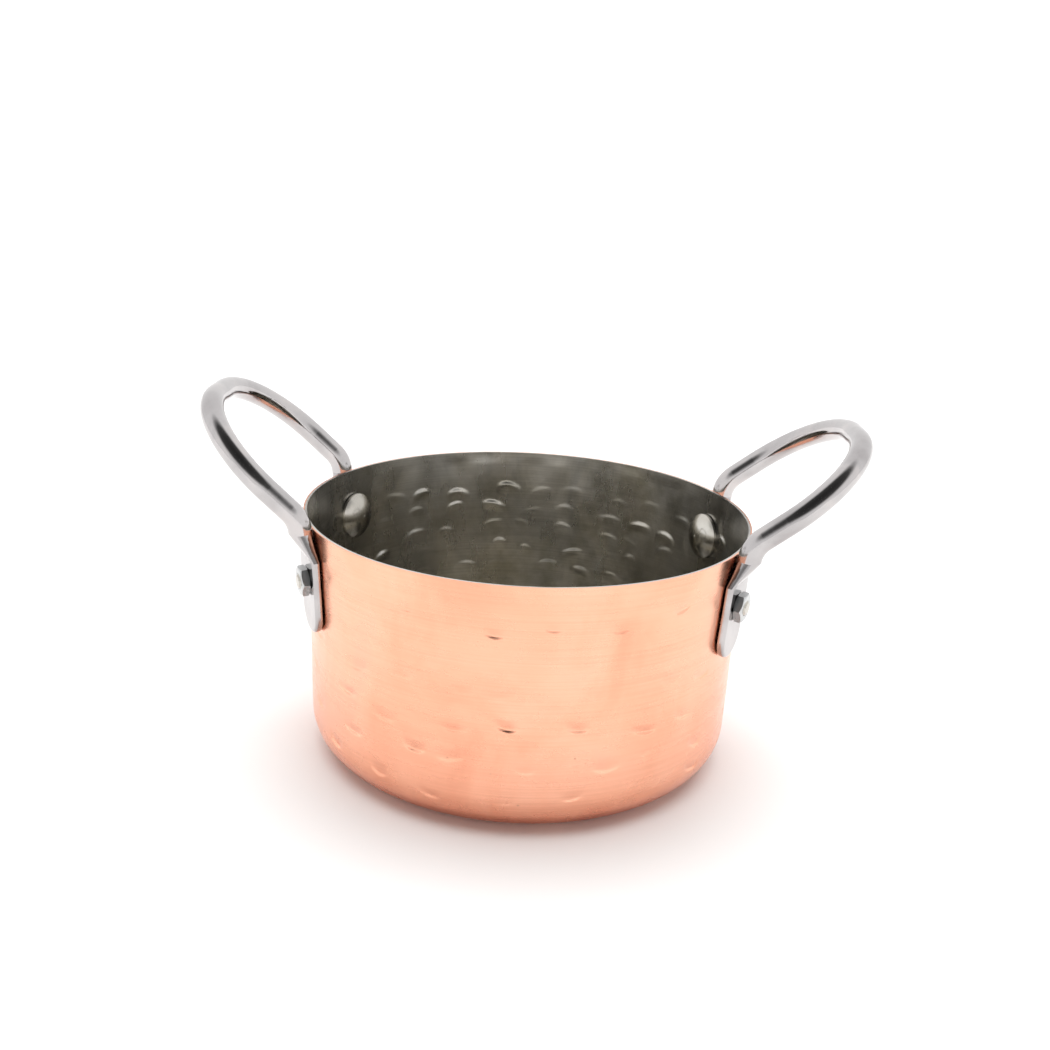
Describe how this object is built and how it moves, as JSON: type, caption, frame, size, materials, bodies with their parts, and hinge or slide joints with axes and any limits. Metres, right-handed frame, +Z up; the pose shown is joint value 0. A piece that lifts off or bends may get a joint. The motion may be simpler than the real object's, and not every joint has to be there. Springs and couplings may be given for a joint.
{
  "type": "two-handled serving pan",
  "caption": "Small round pan with a hammered copper skin over a steel shell, and a bent steel rod loop handle screwed to each side.",
  "frame": {"origin": "centre of the flat base, on its underside, where the pan stands", "axes": "+Z up the pan's axis; the handles stand along +X and -X; -Y is the front"},
  "size_m": [0.1744, 0.12, 0.0966],
  "materials": {
    "pan_steel": "satin hammered stainless steel",
    "copper": "satin polished copper",
    "handle_steel": "polished steel rod",
    "screw_steel": "polished steel",
    "nut_steel": "zinc plated steel"
  },
  "bodies": {
    "root": {"pan_body": "pan_steel", "copper_skin": "copper", "handle_left": "handle_steel", "handle_right": "handle_steel", "screw_left_front": "screw_steel", "nut_left_front": "nut_steel", "screw_left_back": "screw_steel", "nut_left_back": "nut_steel", "screw_right_front": "screw_steel", "nut_right_front": "nut_steel", "screw_right_back": "screw_steel", "nut_right_back": "nut_steel"}
  },
  "joints": []
}
